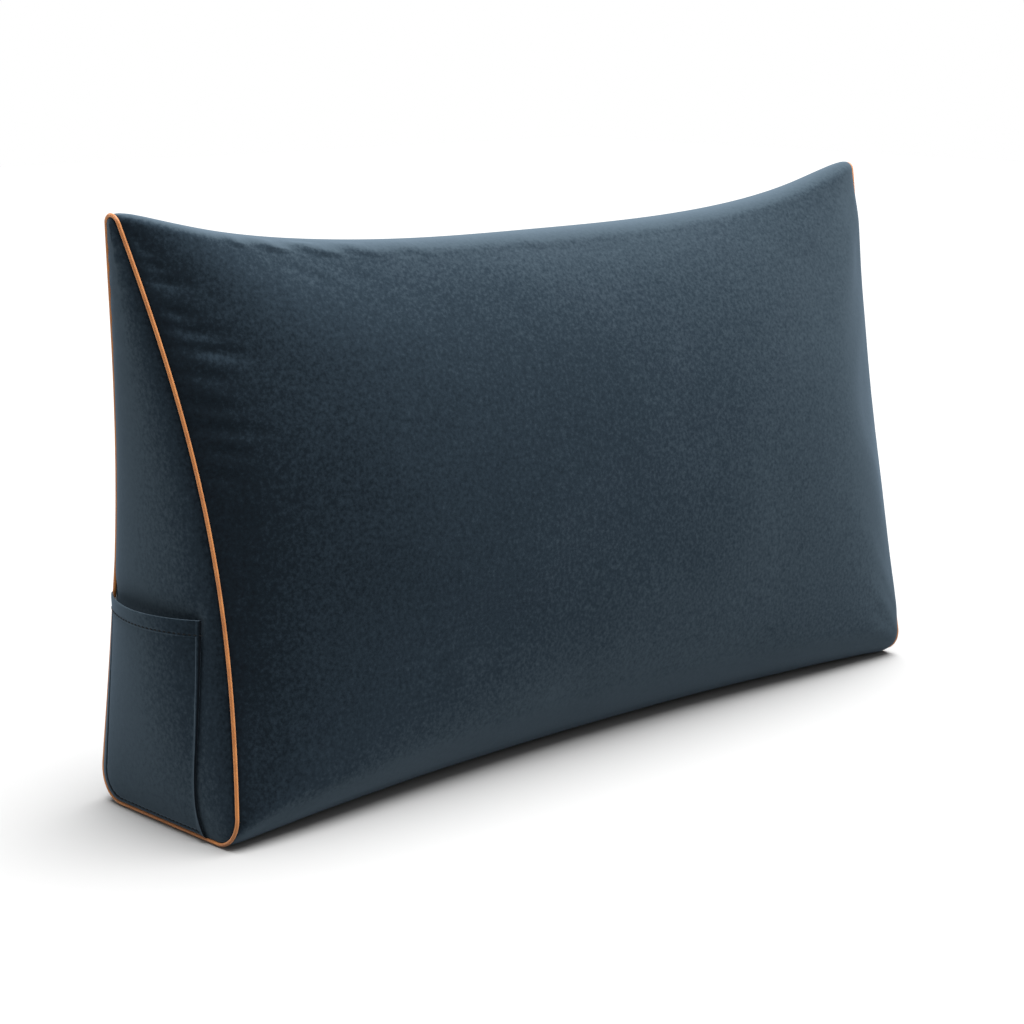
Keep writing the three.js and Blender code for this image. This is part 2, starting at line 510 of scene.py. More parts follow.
def sheet_grid(outer: Floats, inner: Floats) -> tuple[Floats, Faces]:
    """Close two grids of the same size, which share their border, into a sheet.

    Args:
        outer: Points of the outer face, rows by columns by three.
        inner: Points of the inner face. Its border isn't used.

    Returns:
        Points and faces.
    """
    rows, columns = outer.shape[:2]
    front = np.arange(rows * columns).reshape(rows, columns)
    back = front.copy()
    within = back[1:-1, 1:-1]
    within[:] = rows * columns + np.arange(within.size).reshape(within.shape)
    points = np.concatenate([outer.reshape(-1, 3), inner[1:-1, 1:-1].reshape(-1, 3)])
    faces = [tuple(q) for q in quads(front)] + [tuple(q[::-1]) for q in quads(back)]
    return points, faces


def smooth_step(value: Floats, low: float, high: float) -> Floats:
    """Rise softly from 0 at low to 1 at high."""
    part = np.clip((value - low) / (high - low), 0, 1)
    return part * part * (3 - 2 * part)


def bell(value: Floats, width: float) -> Floats:
    """A soft bump of height 1 at 0, which has fallen to 0.37 at its width."""
    return np.exp(-((value / width) ** 2))


def eased(count: int) -> Floats:
    """Shares from 0 to 1 in so many steps, close together at both ends."""
    return (1 - np.cos(np.pi * np.arange(count + 1) / count)) / 2


# Node trees


class Socket:
    """A node's socket that arithmetic can be written with. Each operator adds one Math node."""

    def __init__(self, graph: "Graph", socket: bpy.types.NodeSocket) -> None:
        """Keep the graph and its socket."""
        self.graph = graph
        self.socket = socket

    def _math(self, operation: str, *values: "Socket | float") -> "Socket":
        """Add a Math node on these values."""
        return self.graph.node("ShaderNodeMath", {"operation": operation}, dict(enumerate(values)))

    def __add__(self, other: "Socket | float") -> "Socket":
        """Return self + other."""
        return self._math("ADD", self, other)

    def __radd__(self, other: float) -> "Socket":
        """Return other + self."""
        return self._math("ADD", other, self)

    def __sub__(self, other: "Socket | float") -> "Socket":
        """Return self - other."""
        return self._math("SUBTRACT", self, other)

    def __rsub__(self, other: float) -> "Socket":
        """Return other - self."""
        return self._math("SUBTRACT", other, self)

    def __mul__(self, other: "Socket | float") -> "Socket":
        """Return self * other."""
        return self._math("MULTIPLY", self, other)

    def __rmul__(self, other: float) -> "Socket":
        """Return other * self."""
        return self._math("MULTIPLY", other, self)

    def __truediv__(self, other: "Socket | float") -> "Socket":
        """Return self / other."""
        return self._math("DIVIDE", self, other)

    def sine(self) -> "Socket":
        """Return the sine."""
        return self._math("SINE", self)

    def at_least(self, least: float) -> "Socket":
        """Return the larger of self and a number."""
        return self._math("MAXIMUM", self, least)


class Graph:
    """A node tree, with one method for every kind of node."""

    def __init__(self, tree: bpy.types.NodeTree) -> None:
        """Empty the tree and take it over."""
        self.tree = tree
        self.tree.nodes.clear()

    def node(
        self,
        kind: str,
        settings: dict[str, object] | None = None,
        inputs: dict[str | int, object] | None = None,
        output: str | int | None = 0,
    ) -> Socket | None:
        """Add a node.

        Args:
            kind: The node's type.
            settings: Properties set before its inputs. "stops" fills a colour ramp.
            inputs: Values or sockets by input name or index.
            output: The output to return, or None for a node without one.

        Returns:
            The chosen output.
        """
        made = self.tree.nodes.new(kind)
        for key, value in (settings or {}).items():
            if key == "stops":
                self._fill_ramp(made.color_ramp, value)
            else:
                setattr(made, key, value)
        for key, value in (inputs or {}).items():
            if isinstance(value, Socket):
                self.tree.links.new(value.socket, made.inputs[key])
            else:
                made.inputs[key].default_value = value
        return None if output is None else Socket(self, made.outputs[output])

    @staticmethod
    def _fill_ramp(ramp: bpy.types.ColorRamp, stops: Sequence[tuple[float, tuple[float, ...]]]) -> None:
        """Set a colour ramp's stops."""
        while len(ramp.elements) < len(stops):
            ramp.elements.new(0.5)
        for element, (place, colour) in zip(ramp.elements, stops):
            element.position = place
            element.color = colour


class ShaderGraph(Graph):
    """A material's node tree."""

    def __init__(self, name: str) -> None:
        """Make the material and empty its tree."""
        self.material = bpy.data.materials.new(name)
        self.material.use_nodes = True
        super().__init__(self.material.node_tree)

    def place(self) -> Socket:
        """The piece's own coordinates, in metres."""
        return self.node("ShaderNodeTexCoord", output="Object")

    def attribute(self, name: str) -> Socket:
        """A number stored on the piece's points."""
        return self.node("ShaderNodeAttribute", {"attribute_name": name}, output="Fac")

    def noise(self, vector: Socket, scale: float, detail: float, roughness: float = 0.5) -> Socket:
        """Soft noise from 0 to 1."""
        values = {"Vector": vector, "Scale": scale, "Detail": detail, "Roughness": roughness}
        return self.node("ShaderNodeTexNoise", {}, values, "Fac")

    def ramp(self, value: Socket, *stops: tuple[float, tuple[float, ...]]) -> Socket:
        """A colour ramp on a value."""
        return self.node("ShaderNodeValToRGB", {"stops": stops}, {"Fac": value}, "Color")

    def mix(self, factor: Socket, first: object, second: object) -> Socket:
        """Two colours mixed by a factor. The numbers are a Mix node's colour sockets."""
        return self.node("ShaderNodeMix", {"data_type": "RGBA"}, {0: factor, 6: first, 7: second}, 2)

    def bump(self, height: Socket, distance: float) -> Socket:
        """A bump of the given depth in metres."""
        return self.node("ShaderNodeBump", {}, {"Height": height, "Distance": distance}, "Normal")

    def finish(self, uniform: dict[str, object], varying: dict[str, Socket]) -> bpy.types.Material:
        """Add the surface shader and the output.

        Args:
            uniform: Values set on the shader's own sockets.
            varying: Sockets linked to it.

        Returns:
            The finished material.
        """
        surface = self.node("ShaderNodeBsdfPrincipled", {}, {**uniform, **varying}, "BSDF")
        self.node("ShaderNodeOutputMaterial", {}, {"Surface": surface}, None)
        return self.material


class GeometryGraph(Graph):
    """A Geometry Nodes tree with named inputs, which turns a guide mesh into a finished one."""

    def __init__(self, name: str, sizes: dict[str, float | int]) -> None:
        """Make the tree and its inputs.

        Args:
            name: The tree's name.
            sizes: Its named numbers.
        """
        super().__init__(bpy.data.node_groups.new(name, "GeometryNodeTree"))
        self.sizes = sizes
        self._add_socket("Geometry", "INPUT", "NodeSocketGeometry")
        for key, value in sizes.items():
            kind = "NodeSocketInt" if isinstance(value, int) else "NodeSocketFloat"
            self._add_socket(key, "INPUT", kind)
        self._add_socket("Material", "INPUT", "NodeSocketMaterial")
        self._add_socket("Geometry", "OUTPUT", "NodeSocketGeometry")
        self.entry = self.tree.nodes.new("NodeGroupInput")

    def _add_socket(self, name: str, way: str, kind: str) -> None:
        """Add a socket to the tree's interface."""
        self.tree.interface.new_socket(name=name, in_out=way, socket_type=kind)

    def given(self, name: str) -> Socket:
        """One of the tree's inputs."""
        return Socket(self, self.entry.outputs[name])

    def named(self, name: str, kind: str) -> Socket:
        """An attribute of the points, by its name and data type."""
        return self.node("GeometryNodeInputNamedAttribute", {"data_type": kind}, {"Name": name})

    def stored(self, geometry: Socket, name: str, value: Socket) -> Socket:
        """Keep a number on the points under a name.

        Args:
            geometry: What has the points.
            name: The name.
            value: The number.

        Returns:
            The geometry with the number on it.
        """
        settings = {"data_type": "FLOAT", "domain": "POINT"}
        values = {"Geometry": geometry, "Name": name, "Value": value}
        return self.node("GeometryNodeStoreNamedAttribute", settings, values)

    def close(self, geometry: Socket) -> None:
        """End the tree: instances realized, smooth, and in the material that it is given."""
        real = self.node("GeometryNodeRealizeInstances", {}, {"Geometry": geometry})
        smooth = self.node("GeometryNodeSetShadeSmooth", {}, {"Geometry": real})
        values = {"Geometry": smooth, "Material": self.given("Material")}
        dressed = self.node("GeometryNodeSetMaterial", {}, values)
        self.node("NodeGroupOutput", {}, {"Geometry": dressed}, None)

    def apply(self, guide: bpy.types.Object, material: bpy.types.Material) -> None:
        """Run the tree on a guide and keep the result as its plain mesh.

        Args:
            guide: The object whose mesh the tree reads. It ends with the finished mesh.
            material: What the finished mesh wears.
        """
        modifier = guide.modifiers.new(self.tree.name, "NODES")
        modifier.node_group = self.tree
        values = {**self.sizes, "Material": material}
        for item in self.tree.interface.items_tree:
            if item.in_out == "INPUT" and item.name in values:
                modifier[item.identifier] = values[item.name]
        depsgraph = bpy.context.evaluated_depsgraph_get()
        made = bpy.data.meshes.new_from_object(guide.evaluated_get(depsgraph))
        guide.modifiers.remove(modifier)
        made.name = guide.name
        guide.data = made


def channel_to_linear(value: float) -> float:
    """Undo a screen's gamma curve.

    Args:
        value: One channel of a colour, from 0 to 1.

    Returns:
        Its linear value.
    """
    knee, slope, offset, power = 0.04045, 12.92, 0.055, 2.4
    if value <= knee:
        return value / slope
    return ((value + offset) / (1 + offset)) ** power


def linear(red: int, green: int, blue: int) -> Colour:
    """Turn a colour as seen on a screen, from 0 to 255, into a linear one with an alpha of 1."""
    return (*(channel_to_linear(channel / 255) for channel in (red, green, blue)), 1.0)


# Finishes


@dataclass(frozen=True)
class VelvetFinish:
    """Brushed velvet with a short nap, finely mottled. Its base colour paints the velvet's sheen: dark face
    on, paler where it turns away from the viewer.
    """

    name: str = "brushed velvet"
    # These colours paint the velvet's sheen into its base colour, picked by how far the cloth turns from the
    # viewer. The darkest is reached by the grain and by the painted shade along the pocket's front edge.
    darkest_pile_and_shade: Colour = (0.0050, 0.0068, 0.0090, 1.0)
    face_on: Colour = (0.0070, 0.0108, 0.0148, 1.0)
    leaning: Colour = (0.0165, 0.0253, 0.0343, 1.0)
    turned: Colour = (0.0390, 0.0550, 0.0690, 1.0)
    painted_grazing_sheen: Colour = (0.0560, 0.0760, 0.0950, 1.0)
    turns: tuple[float, ...] = (0.03, 0.23, 0.45, 0.65, 0.95)  # where these five lie on the ramp
    face_on_place: float = 0.15  # where the ramp is read on cloth seen face on
    sheen: float = 0.15
    sheen_roughness: float = 0.35
    sheen_tint: Colour = (0.36, 0.49, 0.64, 1.0)
    specular: float = 0.0
    roughness: float = 0.78
    roughness_spread: float = 0.16
    patch_scale: float = 9.0
    patch_detail: float = 2.0
    patch_share: float = 0.10
    brush_scale: float = 290.0
    brush_detail: float = 3.0
    brush_roughness: float = 0.65
    brush_share: float = 0.60
    brush_fade: float = 0.50  # how much less the strokes show on cloth that is turned away
    brush_least: float = 0.25
    nap_depth: float = 0.0001
    edge_shade_share: float = 0.5  # how far the painted shade along the pocket's front edge darkens the pile

    def material(self) -> bpy.types.Material:
        """Build the material.

        Returns:
            The velvet.
        """
        graph = ShaderGraph(self.name)
        place = graph.place()
        # Facing picks the ramp's colour, so the base colour carries painted sheen, paler towards grazing.
        turned = graph.node("ShaderNodeLayerWeight", {}, {"Blend": 0.5}, "Facing")
        patch = graph.noise(place, self.patch_scale, self.patch_detail)
        brush = graph.noise(place, self.brush_scale, self.brush_detail, self.brush_roughness)
        share = (self.brush_share - self.brush_fade * turned).at_least(self.brush_least)
        lean = self.face_on_place + turned + (brush - 0.5) * share + (patch - 0.5) * self.patch_share
        # Painted shade: the strip along the pocket's front edge is moved down the ramp, darker.
        lean = lean - graph.attribute("painted_edge_shade") * self.edge_shade_share
        painted_sheen_colours = (self.darkest_pile_and_shade, self.face_on, self.leaning, self.turned, self.painted_grazing_sheen)
        colour = graph.ramp(lean, *zip(self.turns, painted_sheen_colours))
        uniform = {
            "Sheen Weight": self.sheen,
            "Sheen Roughness": self.sheen_roughness,
            "Sheen Tint": self.sheen_tint,
            "Specular IOR Level": self.specular,
        }
        varying = {
            "Base Color": colour,
            "Roughness": self.roughness + self.roughness_spread * brush,
            "Normal": graph.bump(brush, self.nap_depth),
        }
        return graph.finish(uniform, varying)


@dataclass(frozen=True)
class PipingFinish:
    """Satin bias cloth drawn over a cord. The line along its crown where it is creased is darkened in colour,
    as painted shade.
    """

    name: str = "tan satin piping"
    pale: Colour = linear(192, 123, 57)
    deep: Colour = linear(158, 91, 33)
    # painted shade: the colour that darkens the crease along the crown
    crease: Colour = linear(100, 52, 18)
    crease_shade_share: float = 0.5
    thread_pitch: float = 0.5
    threads_round: int = 14
    thread_depth: float = 0.00006
    thread_share: float = 0.3  # of the threads in the cloth's shade, the rest being its patches
    patch_scale: float = 60.0
    patch_detail: float = 3.0
    stops: Pair = (0.3, 0.7)
    roughness: float = 0.4
    roughness_spread: float = 0.15
    sheen: float = 0.2
    specular: float = 0.4

    def material(self) -> bpy.types.Material:
        """Build the material.

        Returns:
            The piping's cloth.
        """
        graph = ShaderGraph(self.name)
        turn = 2 * math.pi
        along = graph.attribute("along") * (turn / (self.thread_pitch * MM))
        bias = along + graph.attribute("around") * (turn * self.threads_round)
        thread = bias.sine() * 0.5 + 0.5
        patch = graph.noise(graph.place(), self.patch_scale, self.patch_detail)
        shade = thread * self.thread_share + patch * (1 - self.thread_share)
        cloth = graph.ramp(shade, *zip(self.stops, (self.deep, self.pale)))
        uniform = {"Sheen Weight": self.sheen, "Specular IOR Level": self.specular}
        varying = {
            # The crease is darkened in colour as painted shade.
            "Base Color": graph.mix(graph.attribute("crease") * self.crease_shade_share, cloth, self.crease),
            "Roughness": self.roughness + self.roughness_spread * patch,
            "Normal": graph.bump(thread, self.thread_depth),
        }
        return graph.finish(uniform, varying)


@dataclass(frozen=True)
class ThreadFinish:
    """Sewing thread a little darker than the cloth."""

    name: str = "dark sewing thread"
    deep: Colour = (0.0008, 0.0012, 0.0018, 1.0)
    pale: Colour = (0.0030, 0.0045, 0.0065, 1.0)
    twist_scale: float = 1500.0
    twist_detail: float = 1.0
    stops: Pair = (0.35, 0.65)
    roughness: float = 0.5
    roughness_spread: float = 0.2
    specular: float = 0.15

    def material(self) -> bpy.types.Material:
        """Build the material.

        Returns:
            The thread.
        """
        graph = ShaderGraph(self.name)
        twist = graph.noise(graph.place(), self.twist_scale, self.twist_detail)
        varying = {
            "Base Color": graph.ramp(twist, *zip(self.stops, (self.deep, self.pale))),
            "Roughness": self.roughness + self.roughness_spread * twist,
        }
        return graph.finish({"Specular IOR Level": self.specular}, varying)


@dataclass(frozen=True)
class FloorFinish:
    """A plain white studio floor."""

    name: str = "studio floor"
    white: Colour = (0.3, 0.3, 0.3, 1.0)
    roughness: float = 0.9
    specular: float = 0.0

    def material(self) -> bpy.types.Material:
        """Build the floor's finish."""
        uniform = {"Base Color": self.white, "Roughness": self.roughness, "Specular IOR Level": self.specular}
        return ShaderGraph(self.name).finish(uniform, {})


# Pieces


@dataclass(frozen=True)
class Gather:
    """A trough where the cloth is drawn to the seam."""

    height: float  # over the floor
    start: float  # from the seam
    length: float
    width: float
    depth: float

    def trough(self, from_seam: Floats, height: Floats) -> Floats:
        """How deep the gather is at distances from the seam and heights."""
        reach = bell(from_seam - (self.start + self.length / 2), self.length / 2)
        return self.depth * reach * bell(height - self.height, self.width)


@dataclass(frozen=True)
class Fold:
    """A soft crease across the front, from one place to another, as distances along X and over the floor."""

    start: Pair
    end: Pair
    width: float
    depth: float
    rise: Pair = (-0.25, 0.3)  # shares of its length between which it sets in
    fall: Pair = (0.6, 1.3)  # and between which it fades out

    def crease(self, share: Floats, x: Floats, z: Floats) -> Floats:
        """How far the fold lifts the cloth above its line and sinks it below.

        Args:
            share: How much of it each place shows.
            x: Places along the cushion.
            z: Heights.

        Returns:
            Distances outwards.
        """
        start, end = np.array(self.start), np.array(self.end)
        run = end - start
        length = float(np.hypot(*run))
        unit = run / length
        part = ((x - start[0]) * unit[0] + (z - start[1]) * unit[1]) / length
        aside = (x - start[0]) * -unit[1] + (z - start[1]) * unit[0]
        fade = smooth_step(part, *self.rise) * (1 - smooth_step(part, *self.fall))
        ridge = bell(aside - self.width, self.width) - bell(aside + self.width, self.width)
        return share * self.depth * fade * ridge


@dataclass(frozen=True)
class Inflation:
    """How the cloth simulation fills the wrap out. It runs on every second point of the wrap's grid."""

    pressure: float = 4.0
    frames: int = 20
    slack: float = -0.006
    stiffness: float = 18.0
    bending: float = 0.4
    mass: float = 0.3
    cap: float = 7.0
    held_stations: int = 1
    restored: Pair = (330.0, 440.0)  # heights between which the crest's drop is given back
    smoothing: int = 60  # how often that drop is evened out
    fine: float = 0.17  # share of the simulated wrinkles that stays near the left end's top
    fine_elsewhere: float = 0.1
    fine_reach: Pair = (60.0, 260.0)  # distances from the left end between which it falls
    fine_heights: Pair = (120.0, 300.0)  # heights between which it rises
    broad_passes: int = 24  # how often the swelling is evened out to part it from the wrinkles

    def calmed(self, moved: Floats, points: Floats) -> Floats:
        """Keep the broad swelling and only some of the wrinkles.

        Args:
            moved: Moves by station and place round the section.
            points: The points that move.

        Returns:
            The calmed moves.
        """
        broad = moved
        for _ in range(self.broad_passes):
            broad = softened(broad)
        from_left = points[..., 0] - points[0, :, 0].min()
        near = 1 - smooth_step(from_left, *self.fine_reach)
        near = near * smooth_step(points[..., 2], *self.fine_heights)
        share = self.fine_elsewhere + (self.fine - self.fine_elsewhere) * near
        return broad + (moved - broad) * share[..., None]

    def displacement(self, points: Floats, held: Floats) -> Floats:
        """Run the cloth and read how far each point of a closed grid moves.

        Args:
            points: Points by station and place round the section.
            held: Which points the seams and the base hold still, in the same order.

        Returns:
            Moves in millimetres, none longer than the cap.
        """
        stations, columns = points.shape[:2]
        middles = (points[0].mean(axis=0), points[-1].mean(axis=0))
        cloth = mesh_piece("cloth", *loft(list(points), middles))
        group = cloth.vertex_groups.new(name="held")
        pole = stations * columns
        group.add([int(k) for k in np.flatnonzero(held.ravel())] + [pole, pole + 1], 1.0, "REPLACE")
        modifier = cloth.modifiers.new("inflate", "CLOTH")
        settings = modifier.settings
        settings.use_pressure = True
        settings.uniform_pressure_force = self.pressure
        settings.effector_weights.gravity = 0.0
        settings.vertex_group_mass = group.name
        settings.mass = self.mass
        settings.shrink_min = self.slack
        settings.tension_stiffness = self.stiffness
        settings.compression_stiffness = self.stiffness
        settings.shear_stiffness = self.stiffness
        settings.bending_stiffness = self.bending
        modifier.point_cache.frame_end = self.frames
        scene = bpy.context.scene
        for frame in range(1, self.frames + 1):
            scene.frame_set(frame)
        depsgraph = bpy.context.evaluated_depsgraph_get()
        swollen = cloth.evaluated_get(depsgraph).to_mesh()
        flat = np.empty(len(swollen.vertices) * 3, np.float32)
        swollen.vertices.foreach_get("co", flat)
        cloth.evaluated_get(depsgraph).to_mesh_clear()
        bpy.data.objects.remove(cloth)
        scene.frame_set(1)
        moved = flat.reshape(-1, 3)[:pole].reshape(stations, columns, 3) / MM - points
        length = np.linalg.norm(moved, axis=-1, keepdims=True)
        return moved * self.cap * np.tanh(length / self.cap) / np.maximum(length, TINY)


def refined(coarse: Floats) -> Floats:
    """Spread values on every second grid point over the whole grid, softly.

    Args:
        coarse: Values by station and place round the section.

    Returns:
        Values on a grid with twice the columns and 2n - 1 stations.
    """
    stations, columns = coarse.shape[:2]
    fine = np.zeros((2 * stations - 1, 2 * columns, 3))
    fine[::2, ::2] = coarse
    fine[::2, 1::2] = (coarse + np.roll(coarse, -1, axis=1)) / 2
    fine[1::2] = (fine[:-1:2] + fine[2::2]) / 2
    return softened(fine)


def softened(values: Floats) -> Floats:
    """Even out values between neighbours once, round the section and along the stations.

    Args:
        values: Values by station and place round the section.

    Returns:
        The softer values. Those of the first and the last station are only evened out round the section.
    """
    around = (np.roll(values, 1, axis=1) + 2 * values + np.roll(values, -1, axis=1)) / 4
    soft = around.copy()
    soft[1:-1] = (around[:-2] + 2 * around[1:-1] + around[2:]) / 4
    return soft


@dataclass
class Wrap:
    """The velvet that goes round the filling, front to back, crowned between the ends."""

    form: WedgeForm
    finish: bpy.types.Material
    inflation: Inflation = Inflation()
    steps: dict[Face, int] = field(
        default_factory=lambda: {
            Face.FRONT: 80,
            Face.RIDGE: 12,
            Face.BACK: 50,
            Face.BACK_CORNER: 12,
            Face.BASE: 16,
            Face.FRONT_CORNER: 12,
        }
    )
    stations: int = 112
    seam_offset: float = 2.15
    tuck_out: float = -2.4
    tuck_depth: float = 1.2
    end_inset: float = 3.6
    end_depth: float = 3.8
    end_rings: int = 9
    overhang_roll: float = 4.2  # how much fuller it swells where it hangs over the right piping
    overhang_roll_power: int = 8
    overhang: float = 3.0  # how far out it rolls there
    overhang_power: int = 20
    overhang_place: Pair = (0.4, 0.3)  # where on the seam's roll that is most, and its width
    overhang_held: Pair = (6.0, 45.0)  # the simulation sets in between these distances from the right seam
    overhang_heights: Pair = (34.0, 462.0)
    overhang_fade: float = 26.0
    folds_end: Pair = (0.88, 0.99)  # shares of the front, from the bottom, between which its folds end
    gathers: Sequence[Gather] = (
        Gather(480, 4, 12, 3.5, 1.0),
        Gather(472, 5, 16, 3.5, 1.1),
        Gather(460, 6, 22, 4.0, 1.5),
        Gather(449, 5, 34, 4.5, 1.8),
        Gather(425, 10, 26, 5.0, 1.7),
        Gather(412, 6, 48, 5.5, 2.4),
        Gather(398, 8, 60, 5.5, 2.1),
        Gather(377, 10, 36, 5.5, 1.3),
        Gather(353, 8, 42, 5.5, 1.3),
        Gather(335, 6, 54, 6.0, 1.9),
        Gather(317, 8, 34, 5.5, 1.2),
        Gather(296, 8, 26, 5.5, 0.8),
    )
    folds: Sequence[Fold] = (
        Fold((-356, 474), (-330, 454), 4.5, 0.8),
        Fold((-326, 468), (-266, 440), 4.5, 1.2),
        Fold((-290, 466), (-228, 440), 4.8, 1.0),
        Fold((-236, 460), (-200, 446), 4.5, 0.6),
        Fold((-176, 456), (-148, 445), 5.0, 0.35),
        Fold((-36, 450), (-8, 438), 5.0, 0.35),
    )

    @staticmethod
    def along(stations: int) -> Floats:
        """Places of the stations from -1 to 1, close together near the ends."""
        return np.sin(np.pi * (np.arange(stations + 1) / stations - 0.5))

    def surface(self, stations: int, steps: dict[Face, int]) -> tuple[Floats, Loop]:
        """The crowned surface before its folds.

        Args:
            stations: Steps between the seams.
            steps: Points on each face.

        Returns:
            Points by station and place round the section, and the end section's points.
        """
        form = self.form
        edge = form.end_section.loop(steps)
        middle = form.middle_section.loop(steps)
        along = self.along(stations)[:, None]
        away = np.abs(along)
        power = np.where(edge.z > form.height / 2, form.ridge_power, form.corner_power)[None]
        edge_growth = 1 - away**power
        face_growth = np.maximum(0, 1 - away**form.face_power) ** form.face_rounding
        on_face = edge.on(Face.FRONT, Face.BACK, Face.BASE) * np.sin(np.pi * edge.part)
        growth = edge_growth + (face_growth - edge_growth) * on_face
        rolled = np.sqrt(np.maximum(0, 1 - away**form.roll_power))
        over = self.overhanging(edge)[None] * (along > 0)
        fuller = self.overhang_roll * over * away**self.overhang_roll_power
        swell = (form.seam_roll + fuller) * rolled - form.piping_proud
        x = along * (form.half_length(edge.z, along) - self.seam_offset)
        rolled_from, roll_width = self.overhang_place
        x = x + self.overhang * over * bell(rolled - rolled_from, roll_width) * away**self.overhang_power
        below = (1 - edge.part) * edge.on(Face.FRONT) + edge.part * edge.on(Face.BACK)
        faces = edge.on(Face.FRONT, Face.RIDGE, Face.BACK)
        lean_middle, lean_width = form.crest_lean_place
        more = 1 + form.crest_lean_more * bell(along - lean_middle, lean_width)
        lean = form.crest_lean * more * bell(below, form.crest_lean_length) * faces
        y = edge.y + (middle.y - edge.y) * growth + edge.normal_y * swell + form.shift_y
        y = y + lean * edge_growth
        z = np.maximum(0, edge.z + (middle.z - edge.z) * growth + edge.normal_z * swell)
        return np.stack(np.broadcast_arrays(x, y, z), axis=-1), edge

    def overhanging(self, edge: Loop) -> Floats:
        """Where the filling pushes the wrap out over the right piping, which it then hides from the front.

        Args:
            edge: The end section's points.

        Returns:
            Shares from 0 to 1.
        """
        fade = self.overhang_fade
        rise, fall = (smooth_step(edge.z, z - fade, z + fade) for z in self.overhang_heights)
        return rise * (1 - fall) * edge.on(Face.FRONT, Face.BACK, Face.FRONT_CORNER, Face.BACK_CORNER)

    def filled_out(self, points: Floats) -> Floats:
        """Let the cloth simulation fill the surface out.

        Args:
            points: The crowned surface. It is not used.

        Returns:
            How far each of its points moves.
        """
        coarse, edge = self.surface(self.stations, self.steps)
        held = np.zeros(coarse.shape[:2], bool)
        last = self.inflation.held_stations + 1
        held[:last] = True
        held[-last:] = True
        held |= edge.on(Face.BASE)[None]
        moved = self.inflation.calmed(self.inflation.displacement(coarse, held), coarse)
        high = smooth_step(coarse[..., 2], *self.inflation.restored)
        moved[..., 2] += self.crest_drop(moved, edge)[:, None] * high
        from_right = coarse[-1, :, 0].max() - coarse[..., 0]
        free = 1 - self.overhanging(edge)[None] * (1 - smooth_step(from_right, *self.overhang_held))
        return refined(moved * free[..., None])

    def crest_drop(self, moved: Floats, edge: Loop) -> Floats:
        """How far the simulation lowers the crest, without its folds.

        Args:
            moved: Moves of the coarse grid.
            edge: The end section's points.

        Returns:
            The drop at each station.
        """
        drop = -moved[:, edge.on(Face.RIDGE), 2].mean(axis=1)
        for _ in range(self.inflation.smoothing):
            drop[1:-1] = (drop[:-2] + 2 * drop[1:-1] + drop[2:]) / 4
        return drop

    @staticmethod
    def normals(points: Floats) -> Floats:
        """Outward normals of a surface given by station and place round the section.

        Args:
            points: The surface's points.

        Returns:
            Unit normals in the same order.
        """
        lengthwise = np.gradient(points, axis=0)
        round_it = np.roll(points, -1, axis=1) - np.roll(points, 1, axis=1)
        normal = np.cross(round_it, lengthwise)
        normal /= np.linalg.norm(normal, axis=-1, keepdims=True) + TINY
        outward = points - points.mean(axis=(0, 1))
        return normal * np.sign((normal * outward).sum())

    def relief(self, points: Floats, edge: Loop) -> Floats:
        """How far gathers and folds lift or sink the cloth.

        Args:
            points: The crowned surface.
            edge: The end section's points.

        Returns:
            Distances outwards.
        """
        x, y, z = np.moveaxis(points, -1, 0)
        form = self.form
        from_seam = x + form.half_length(edge.z, End.LEFT.value)
        height = np.broadcast_to(edge.z, x.shape)
        front = np.broadcast_to(edge.on(Face.FRONT), x.shape)
        total = np.zeros_like(x)
        for gather in self.gathers:
            total -= front * gather.trough(from_seam, height)
        forward = y < form.middle_section.ridge_y + form.shift_y
        below = (1 - smooth_step(edge.part, *self.folds_end))[None]
        for fold in self.folds:
            total += fold.crease(forward * below, x, z)
        return total

    def end_cover(self, end: End, edge: Loop) -> list[Floats]:
        """Rings that carry the wrap round the piping and on under the end's panel, towards its hub.

        Args:
            end: Which end.
            edge: The end section's points.

        Returns:
            The rings, from the seam inwards.
        """
        form = self.form
        hub_y, hub_z = form.panel_hub
        y = edge.y - edge.normal_y * self.end_inset
        z = edge.z - edge.normal_z * self.end_inset
        rings = [form.seam(end, edge, self.tuck_out, -self.tuck_depth)]
        for share in np.linspace(0, 1, self.end_rings, endpoint=False):
            ring_y, ring_z = y + (hub_y - y) * share, z + (hub_z - z) * share
            rings.append(form.end_points(end, ring_y, ring_z, -self.end_depth))
        return rings

    def build(self) -> bpy.types.Object:
        """Make the wrap's mesh and dress it.

        Returns:
            The wrap.
        """
        form = self.form
        steps = {face: 2 * count for face, count in self.steps.items()}
        points, edge = self.surface(2 * self.stations, steps)
        moved = self.filled_out(points)
        LOG.info("the filling moves the wrap by up to %.1f mm", np.linalg.norm(moved, axis=-1).max())
        points = points + moved
        points = points + self.normals(points) * self.relief(points, edge)[..., None]
        points[..., 2] = np.maximum(points[..., 2], 0)
        rows = [
            *reversed(self.end_cover(End.LEFT, edge)),
            *points,
            *self.end_cover(End.RIGHT, edge),
        ]
        poles = tuple(form.end_points(end, *np.array(form.panel_hub), -self.end_depth) for end in End)
        piece = mesh_piece("cushion_wrap", *loft(rows, poles))
        piece.data.materials.append(self.finish)
        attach(piece, BODY)
        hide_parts("cushion_body")
        return piece


